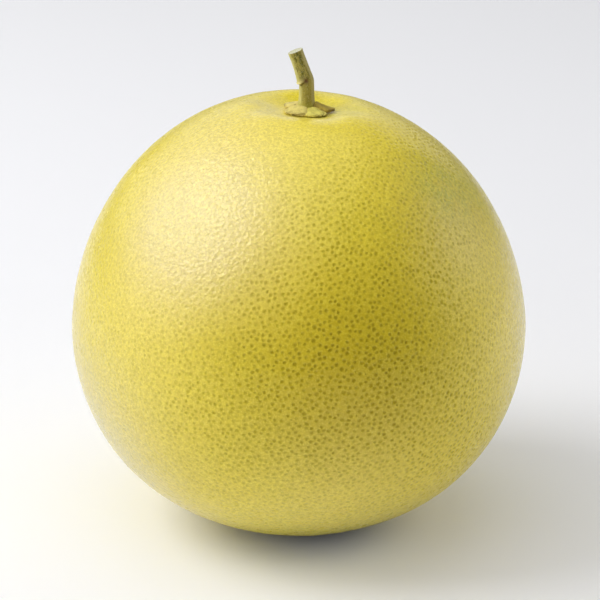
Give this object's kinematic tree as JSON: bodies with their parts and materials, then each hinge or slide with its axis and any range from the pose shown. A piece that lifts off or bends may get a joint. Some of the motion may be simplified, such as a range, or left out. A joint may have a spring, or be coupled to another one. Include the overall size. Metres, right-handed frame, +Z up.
{
  "type": "pomelo",
  "caption": "Whole pomelo with its calyx and short cut stem: a broad round citrus fruit, narrower at the shoulders, resting on a small flat spot.",
  "frame": {"origin": "middle of the flat resting spot under the fruit, on the surface that it stands on", "axes": "+Z up from the resting spot towards the stem, which is the fruit's own axis; the stem leans towards -X; -Y is the side that the picture shows"},
  "size_m": [0.16, 0.16, 0.1712],
  "materials": {
    "peel": "leathery citrus rind, thin wax bloom, semi-gloss, closely pitted with small darker oil glands; pale yellow-green with greener patches",
    "stem": "dull olive-green bark with fine lengthwise ridges, browner on one side, and a pale cream cut end",
    "calyx": "dull yellow-green, slightly rough, going brown at the edge",
    "sepal": "dull, dry, tan-yellow to pale green lobes with brown ragged tips"
  },
  "bodies": {
    "root": {"fruit": "peel", "stem": "stem", "calyx_disc": "calyx", "sepal_right": "sepal", "sepal_front": "sepal", "sepal_left_front": "sepal", "sepal_left_back": "sepal", "sepal_back": "sepal"}
  },
  "joints": []
}
